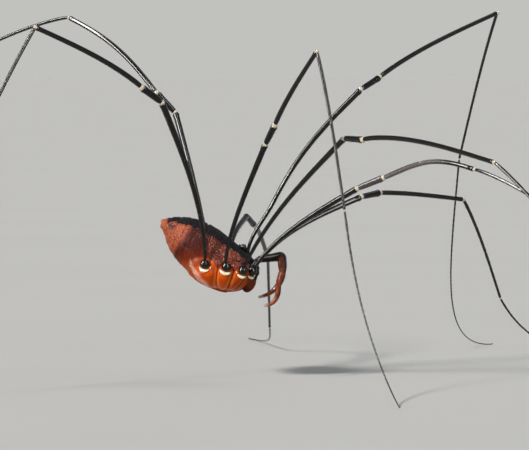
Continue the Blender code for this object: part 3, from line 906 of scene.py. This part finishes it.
def arched(start, end, up, sway, power, early, count=60):
    run = end - start
    along = run.normalized()
    upward = (Vector((0, 0, 1)) - along * along.z).normalized()
    bow = upward * up + upward.cross(along) * sway
    points = []
    for step in range(count + 1):
        t = step / count
        first = early * math.sin(math.pi * min(t / earlyPart, 1) ** 0.6) ** 2
        points.append(start + run * t + bow * math.sin(math.pi * t**power) + upward * first)
    return points


def tarsusLine(start, yaw, rise, lastYaw, length, endHeight, count=120):
    # it levels out just fast enough for its tip to come down to the floor
    def walk(power):
        points = [start.copy()]
        for step in range(count):
            t = (step + 0.5) / count
            way = heading(yaw + (lastYaw - yaw) * t**1.5, rise * (1 - t**power))
            points.append(points[-1] + way * length / count)
        return points

    low, high = 0.05, 60.0
    for _ in range(40):
        power = (low + high) / 2
        low, high = (power, high) if walk(power)[-1].z > endHeight else (low, power)
    return walk(power)


def legLines(name):
    pair, side = int(name[1]), sides[name[0]]
    joint = raised @ mirrored(hips[pair], side)
    femurUp, tibiaUp, metatarsusUp, femurSway = bows[name]
    arcs = ((femurUp, femurSway), (0, 0), (tibiaUp, 0), (metatarsusUp, 0))
    lines = []
    for index, (length, (yaw, rise)) in enumerate(zip(leg["lengths"][pair][:4], poses[name][:4])):
        end = joint + heading(yaw, rise) * length
        power, early = bendPlaces.get((name, index), 0.75), earlyBows.get((name, index), 0)
        lines.append(arched(joint, end, *arcs[index], power, early))
        joint = end
    yaw, rise, lastYaw = poses[name][4]
    lines.append(tarsusLine(joint, yaw, rise, lastYaw, leg["lengths"][pair][4], leg["footHeight"]))
    return [np.array(line) for line in lines]


class Course:  # a line that can be read at any distance along it
    def __init__(self, points):
        self.points = np.array(points)
        self.runs = np.concatenate(([0], np.cumsum(np.linalg.norm(np.diff(self.points, axis=0), axis=1))))
        self.length = self.runs[-1]

    def at(self, distances):
        return np.stack([np.interp(distances, self.runs, self.points[:, k]) for k in range(3)], 1)

    def way(self, distances):
        after, before = np.minimum(distances + 0.05, self.length), np.maximum(distances - 0.05, 0)
        return unit(self.at(after) - self.at(before))


def stationsFor(start, end, spacing):
    # distances along a segment, close together at its rounded ends
    ends = np.array((0, 0.012, 0.03, 0.055, 0.09, 0.14, 0.20))
    count = max(int((end - start - 2 * ends[-1]) / spacing), 2)
    middle = np.linspace(start + ends[-1], end - ends[-1], count + 1)[1:-1]
    return np.concatenate((start + ends, middle, end - ends[::-1]))


def roundEnds(distances, start, end, radii, reach=0.13):
    inset = np.minimum(distances - start, end - distances)
    return radii * np.sqrt(np.clip(1 - np.clip(1 - inset / reach, 0, 1) ** 2, 0.02, 1))


def limbPiece(course, distances, radii, corners, pale, tone):
    made = rod(course.at(distances), radii, corners)
    # the pale joint skin is painted paler on its upper side, a painted highlight
    upper = eased(-0.4, 0.6, normalsOf(made)[:, 2])
    paintPoints(made, "pale", np.repeat(pale, corners) * (0.15 + 0.85 * upper))
    paintPoints(made, "tone", np.repeat(tone + distances * 0, corners))
    paintPoints(made, "run", np.repeat(distances, corners))
    return made


def teethRow(course, start, end, radiusAt, angles, gap, size, shape):
    # rows of small teeth that lean towards the foot
    spots, ways, aheads = [], [], []
    for angle in angles:
        runs = np.arange(start + random.random() * gap, end, gap)
        runs = runs + (random.random(len(runs)) - 0.5) * gap * 0.5
        along = course.way(runs)
        side = unit(np.cross(along, (0, 0, 1.0)))
        top = np.cross(side, along)
        turn = math.radians(angle) + (random.random(len(runs)) - 0.5)[:, None] * 0.3
        way = top * np.cos(turn) + side * np.sin(turn)
        spots.append(course.at(runs) + way * (radiusAt(runs)[:, None] - 0.008))
        ways.append(way)
        aheads.append(along)
    spots, ways, aheads = (np.concatenate(rows) for rows in (spots, ways, aheads))
    wide = size[0] * (0.7 + 0.6 * random.random(len(spots)))
    tall = size[1] * (0.6 + 0.7 * random.random(len(spots)))
    return stamped("teeth", shape, spots, ways, wide, tall, aheads)


def tarsusStations(length, radii, stout):
    # many short rings, the first one long, each narrow at its base
    sizes = np.concatenate(((3.5,), np.linspace(1.15, 0.75, int(length / 0.42))))
    sizes *= length / sizes.sum()
    starts = np.concatenate(([0], np.cumsum(sizes)[:-1]))
    places = (0.02, 0.14, 0.40, 0.75, 0.93)
    widths = (0.76, 0.95, 1.0, 1.03, 0.93)
    distances = np.concatenate([start + size * np.array(places) for start, size in zip(starts, sizes)])
    wide = np.tile(widths, len(sizes)) * np.interp(distances, (0, length), radii) * stout
    pale = np.append(np.tile((1, 0.2, 0, 0, 0.3), len(sizes)), 0.5) * 0.5
    return np.append(distances, length), np.append(wide, radii[1] * 0.5), pale


def legForm(name):
    lines = legLines(name)
    stout = leg["stout"][int(name[1])]
    pieces = []
    for segment, line, ends in zip(segments[:4], lines, leg["radii"]):
        pieces += segmentPieces(name, segment, Course(line), np.array(ends) * stout)
    toes = Course(lines[4])
    distances, radii, pale = tarsusStations(toes.length, leg["radii"][4], stout)
    tone = 0.15 + 0.35 * distances / toes.length
    pieces.append(limbPiece(toes, distances, radii, 8, pale, tone))
    pieces.append(hipBall(lines[0]))
    return joined(pieces, "Leg" + name)


def segmentPieces(name, segment, course, ends):
    # the hard tube, its teeth and the soft joint at its far end
    length = course.length
    start, end = leg["gap"], length - leg["gap"]
    if segment == "Femur":
        start = leg["ball"] - 0.06

    def radiusAt(x):
        # narrow at the base, a little swollen before the far end
        radii = ends[0] + (ends[1] - ends[0]) * (x / length) ** 0.9
        if segment == "Femur":
            radii = radii * (1 - 0.22 * np.exp(-np.maximum(x - 0.25, 0) / 0.5))
        else:
            radii = radii * (1 - 0.28 * np.exp(-x / 0.22))
        return radii * (1 + 0.10 * bell(length - x - 0.20, 0.16))

    distances = stationsFor(start, end, leg["ring"])
    radii = roundEnds(distances, start, end, radiusAt(distances))
    pale = bell(distances - end, 0.075) + bell(distances - start, 0.05) * 0.6
    tone = leg["tones"][segment]
    if name == "R1" and segment == "Patella":
        tone = 0.5
    # painted reflection: a grey sheen with rings on the right first tibia, less on its patella
    if name == "R1" and segment == "Tibia":
        pale = pale + 0.9 * bell(distances - 0.43 * length, 0.09)
        tone = 0.9 * eased(0.75, 0.5, distances / length)
    if segment == "Metatarsus":
        notches = np.arange(0.30 * length, length - 0.4, leg["notches"])
        notched = bell(np.abs(distances[:, None] - notches).min(1), 0.07)
        radii = radii * (1 - 0.12 * notched)
        pale = pale + 0.45 * notched
    tube = limbPiece(course, distances, radii, 10, np.clip(pale, 0, 1), tone)
    size, gap = leg["teeth"][segment]
    teeth = teethRow(course, start + 0.3, end - 0.1, radiusAt, leg["toothRows"], gap, size, thorn)
    joint = ball(course.points[-1], (radiusAt(length - 0.2) * 0.86,) * 3, 8)
    paintPoints(joint, "pale", 1.0)
    return [tube, teeth, joint]


def hipBall(line):
    # the round trochanter, drawn out to a short neck that holds the femur
    course = Course(line)
    radius = leg["ball"]
    across = np.linspace(-1, 0.86, 16)
    distances = across * radius
    along = course.way(np.array([0.0]))[0]
    points = np.array(line[0]) + distances[:, None] * along
    radii = radius * np.sqrt(np.clip(1 - across**2, 0.0025, 1))
    return rod(points, radii, 20)


def legClaw(name):
    # one slender hook at the tip
    reach, rise, hook, wide, thin = leg["claw"]
    line = legLines(name)[-1]
    along = Vector(line[-1] - line[-4]).normalized()
    points, radii = [], []
    for step in range(8):
        t = step / 7
        above = Vector((0, 0, rise - hook * t * t))
        points.append(Vector(line[-1]) + along * (reach * math.sin(t * 1.4) - 0.02) + above)
        radii.append(wide * (1 - t) + thin)
    low = min(point.z - radius for point, radius in zip(points, radii))
    lift = Vector((0, 0, max(0.002 - low, 0)))  # it stays above the floor
    return rod([point + lift for point in points], radii, 8)


def legMaterial():
    made, shader, spot = startMaterial("legBlack", IOR=1.33)
    pale, tone, run = (spot.painted(name) for name in ("pale", "tone", "run"))
    rings = (run * 55.0).wave().step(-0.3, 0.9)
    black = spot.noise(1.2, 3.0).blend(*leg["black"])
    colour = tone.blend(black, (rings * 0.8).blend(*leg["brown"]))
    colour = pale.step(0.25, 0.95).blend(colour, leg["pale"])
    feed(shader, Base_Color=colour, Roughness=0.05 + spot.noise(8.0, 2.0) * 0.10)
    bumped(shader, spot.noise(16.0, 3.0) * 0.4 + rings * tone * 0.6, 0.25, 0.00003)
    return made


legBlack = legMaterial()
for name in poses:
    replaced = ["Leg" + name + "_" + segment for segment in ("Trochanter", *segments)]
    finished(legForm(name), standing, legBlack, replaced)
claws = joined([legClaw(name) for name in poses], "LegClaws")
finished(claws, standing, legBlack, ())
counts = [len(piece.data.polygons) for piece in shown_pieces() if piece.name.startswith("Leg")]
print("legs", sum(counts), "faces")


# Palps: each one smooth limb, knee and ankle included.
palp = {
    "joints": {
        -1: ((3.00, -0.62, 8.10), (4.68, -1.05, 8.33), (4.78, -1.15, 7.35), (4.50, -1.10, 6.45)),
        1: ((3.00, 0.62, 8.10), (4.64, 1.00, 8.33), (4.68, 1.10, 7.35), (4.38, 1.05, 6.45)),
    },
    "tips": {
        -1: ((4.50, -1.02, 5.10), (3.50, -0.85, 5.08)),
        1: ((4.10, 0.95, 5.75), (3.05, 0.80, 5.55)),
    },
    # distance past the base, from joint to joint, and the radius there
    "radii": (
        (0.0, 0.19), (0.5, 0.23), (0.8, 0.26), (0.94, 0.27), (1.02, 0.26), (1.2, 0.27), (1.6, 0.28),
        (1.85, 0.26), (1.98, 0.21), (2.06, 0.205), (2.25, 0.24), (2.6, 0.235), (2.88, 0.20), (2.98, 0.165),
        (3.06, 0.165), (3.2, 0.175), (3.6, 0.135), (4.0, 0.07),
    ),
    "tones": ((0.0, 1.0), (0.85, 0.95), (1.15, 0.55), (1.9, 0.35), (2.1, 0.25), (4.0, 0.05)),
    "bend": 0.30,  # how far before and after the knee its curve reaches
    "root": (
        (2.60, 0.66, -0.10), (2.80, 0.66, 0.25), (2.92, 0.65, 0.55), (2.93, 0.63, 0.78), (3.02, 0.62, 0.90),
    ),
    "rootRadii": (0.20, 0.22, 0.22, 0.20, 0.10),
    # of the granules, the teeth and the foot's hairs: the turns of their rows, spacing, width and height
    "granules": (range(0, 360, 24), 0.085, (0.030, 0.022)),
    "teeth": (range(10, 360, 60), 0.20, (0.015, 0.05)),
    "hairs": (range(0, 360, 30), 0.09, (0.008, 0.075)),
    "orange": ((0.27, 0.046, 0.004), (0.11, 0.011, 0.002)),
    "dark": (0.008, 0.005, 0.005),
    "pale": (0.62, 0.50, 0.38),
}


def curved(start, middle, end, count):
    # a curve from start to end that leans towards the middle point
    steps = (step / count for step in range(count + 1))
    return [start * (1 - t) ** 2 + middle * 2 * t * (1 - t) + end * t**2 for t in steps]


def palpLine(side):
    # places along the limb, and for each how many joints it lies past the base
    base, knee, patellaEnd, ankle = (Vector(place) for place in palp["joints"][side])
    bend, tip = (Vector(place) for place in palp["tips"][side])
    reach = palp["bend"]
    before = knee + (base - knee).normalized() * reach
    after = knee + (patellaEnd - knee).normalized() * reach
    femur = [base.lerp(before, step / 16) for step in range(16)]
    turn = curved(before, knee + (before + after - knee * 2) * -0.22, after, 12)
    rest = [after.lerp(patellaEnd, step / 8) for step in range(1, 8)]
    rest += curved(patellaEnd, patellaEnd.lerp(ankle, 0.5) + Vector((0.03, 0, 0)), ankle, 10)
    tarsus = curved(ankle, bend, tip, 40)[1:]
    share = 1 - reach / (knee - base).length
    past = [np.linspace(0, share, 16, endpoint=False), np.linspace(share, 1.25, 13)]
    past += [np.linspace(1.25, 2, 9)[1:-1], np.linspace(2, 3, 11), np.linspace(3, 4, 41)[1:]]
    return np.array([tuple(place) for place in femur + turn + rest + tarsus]), np.concatenate(past)


def palpForm(side):
    places, past = palpLine(side)
    course = Course(places)
    distances = np.linspace(0, course.length, 130)
    past = np.interp(distances, course.runs, past)
    radii = between(palp["radii"], past)
    radii = roundEnds(distances, 0, course.length, radii, 0.10)
    tones = between(palp["tones"], past)
    limb = rod(course.at(distances), radii, 20)
    # the outer side is painted darker than the inner one: painted shade on the side that faces forward
    outer = eased(0.1, 0.8, normalsOf(limb)[:, 0]) * np.repeat(eased(4.0, 3.2, past) * 0.6, 20)
    paintPoints(limb, "tone", np.clip(np.repeat(tones, 20) + outer, 0, 1))
    paintPoints(limb, "pale", np.repeat(eased(3.75, 4.0, past), 20))
    root = rod([raised @ mirrored(place, side) for place in palp["root"]], palp["rootRadii"], 14)
    paintPoints(root, "tone", 1.0)

    def radiusAt(x):
        return np.interp(x, distances, radii)

    ankle = float(np.interp(3.0, past, distances))
    pieces = [limb, root]
    rows = {
        "granules": (0.15, ankle, bead), "teeth": (0.1, ankle, thorn),
        "hairs": (ankle, course.length, thorn),
    }
    for kind, (start, end, shape) in rows.items():
        row = teethRow(course, start, end, radiusAt, *palp[kind], shape)
        nearest = np.linalg.norm(pointsOf(row)[:, None] - course.at(distances), axis=2).argmin(1)
        paintPoints(row, "tone", tones[nearest] * 0.8)
        pieces.append(row)
    return joined(pieces, sided("Palp", side))


def palpMaterial():
    made, shader, spot = startMaterial("palpCuticle", Specular_IOR_Level=0.07, Coat_Roughness=0.05)
    pale, tone = spot.painted("pale"), spot.painted("tone")
    orange = spot.noise(3.0, 3.0).step(0.3, 0.7).blend(*palp["orange"])
    feed(shader, Base_Color=layered(orange, palp, dark=tone.step(0.15, 0.85), pale=pale * 0.8))
    feed(shader, Roughness=0.10 + spot.noise(9.0, 2.0) * 0.14, Coat_Weight=tone.step(0.85, 0.25) * 0.5)
    bumped(shader, spot.noise(13.0, 3.0), 0.35, 0.00004)
    return made


palpCuticle = palpMaterial()
for label, side in sides.items():
    replaced = ["Palp" + part + "_" + label for part in ("Femur", "Tibia", "Tarsus")]
    finished(palpForm(side), standing, palpCuticle, replaced)
print("palps")


# Chelicerae: a folded limb that ends in a pincer, with short hairs.
jaws = {
    "joints": ((2.40, 0.29, 0.22), (3.12, 0.29, -0.02), (3.12, 0.28, -0.50), (3.10, 0.26, -0.90)),
    "girths": (0.20, 0.26, 0.26, 0.17),
    "knuckles": ((0.20, 0.20, 0.20), (0.27, 0.25, 0.27)),
    "fingerTip": (3.06, 0.22, -1.28),
    "fingerSpread": 0.09,
    "fingerRadii": (0.085, 0.035),
    "hairGap": 0.11,
    "hair": (0.007, 0.060),
}


def jawForm(side):
    joints = [mirrored(place, side) for place in jaws["joints"]]
    forms = [rod(joints, jaws["girths"], 16)]
    forms += [ball(joint, size) for joint, size in zip(joints, jaws["knuckles"])]
    root, tip = joints[-1], mirrored(jaws["fingerTip"], side)
    wide, thin = jaws["fingerRadii"]
    for way in (1, -1):
        spread = way * jaws["fingerSpread"]
        base = root + Vector((spread, 0, jaws["fingerSpread"]))
        bend = Vector((root.x + spread * 1.2, root.y, (root.z + tip.z) / 2))
        forms.append(rod([base, bend, tip + Vector((way * thin, 0, 0))], [wide, wide * 0.8, thin], 12))
    made = joined(forms, sided("Chelicera", side))
    applied(made, "REMESH", mode="VOXEL", voxel_size=0.022)
    applied(made, "SMOOTH", factor=0.5, iterations=4)
    places = pointsOf(made)
    paintPoints(made, "tone", 0.72 + 0.28 * eased(-0.85, -1.15, places[:, 2]))
    spots, ways = scattered(made, jaws["hairGap"])
    ahead = np.tile((0.0, 0.0, -1.0), (len(spots), 1))
    wide, tall = (np.full(len(spots), value) for value in jaws["hair"])
    hairs = stamped("jawHairs", thorn, spots - ways * 0.004, ways, wide, tall, ahead)
    paintPoints(hairs, "tone", 0.6)
    return joined([made, hairs], made.name)


for label, side in sides.items():
    finished(jawForm(side), tilted, palpCuticle, ("Chelicera_" + label,))
print("chelicerae")


# Camera, lights and floor.
view = {  # degrees, millimetres and pixels
    "turn": 3.0, "rise": 2.0, "distance": 280.0, "width": 529, "pixelsPerMm": 15.0, "right": 3.5, "up": 2.0,
}


def aimedCamera():
    turn, rise = math.radians(view["turn"]), math.radians(view["rise"])
    right = Vector((math.cos(turn), math.sin(turn), 0))
    toward = Vector((math.sin(turn) * math.cos(rise), -math.cos(turn) * math.cos(rise), math.sin(rise)))
    up = toward.cross(right)
    aim = Vector((0, 0, stance["height"])) + right * view["right"] + up * view["up"]
    bpy.ops.object.camera_add()
    camera = bpy.context.object
    camera.data.sensor_width = 36
    camera.data.lens = 36 * view["distance"] * view["pixelsPerMm"] / view["width"]
    camera.data.clip_start, camera.data.clip_end = 0.005, 200
    camera.location = standing @ (aim + toward * view["distance"])
    camera.rotation_euler = (-toward).to_track_quat("-Z", "Y").to_euler()
    bpy.context.scene.camera = camera


def lampTowards(kind, name, place, power, colour):
    bpy.ops.object.light_add(type=kind)
    lamp = bpy.context.object
    lamp.name = name
    lamp.data.energy = power
    lamp.data.color = colour
    lamp.visible_camera = False
    lamp.location = tilted @ Vector() + Vector(place)
    lamp.rotation_euler = (-Vector(place)).to_track_quat("-Z", "Y").to_euler()
    return lamp


def softLight(name, place, spread, power, colour):
    # light from far off, the same over the whole floor
    lampTowards("SUN", name, place, power, colour).data.angle = math.radians(spread)


def stripLight(name, place, wide, tall, power):
    # a long bright box that only shows in the gloss
    lamp = lampTowards("AREA", name, place, power, (1.0, 0.98, 0.95))
    lamp.data.shape = "RECTANGLE"
    lamp.data.size, lamp.data.size_y = wide, tall
    lamp.visible_diffuse = False


def plainFloor():
    bpy.ops.mesh.primitive_circle_add(vertices=96, radius=60, fill_type="NGON")
    floor = bpy.context.object
    floor.name = "Floor"
    made, shader, spot = startMaterial("paleFloor", Roughness=1.0, Specular_IOR_Level=0.0)
    feed(shader, Base_Color=spot.noise(0.03, 2.0).blend((0.60, 0.60, 0.59), (0.63, 0.63, 0.62)))
    floor.data.materials.append(made)


def paleSky():
    world = bpy.data.worlds.new("studio")
    world.use_nodes = True
    sky = world.node_tree.nodes["Background"]
    upward = Wire(world.node_tree).node("TexCoord", {}, {}, 0).parts()[2]
    feed(sky, Color=upward.step(0.02, 0.55).blend((0.535, 0.533, 0.518), (0.13, 0.14, 0.16)))
    bpy.context.scene.world = world


aimedCamera()
softLight("Key", (-0.45, -0.72, 0.55), 7, 3.2, (1.0, 0.97, 0.92))
softLight("Fill", (0.60, -0.50, 0.30), 60, 0.45, (0.93, 0.97, 1.0))
softLight("Back", (0.30, 0.40, 0.80), 30, 0.35, (1.0, 0.99, 0.94))
stripLight("StripLeft", (-1.50, -0.70, 1.10), 0.30, 2.8, 210)
stripLight("StripRight", (1.15, -1.15, 1.15), 0.25, 2.8, 70)
plainFloor()
paleSky()
bpy.context.scene.view_settings.view_transform = "Standard"
print("camera, lights and floor")
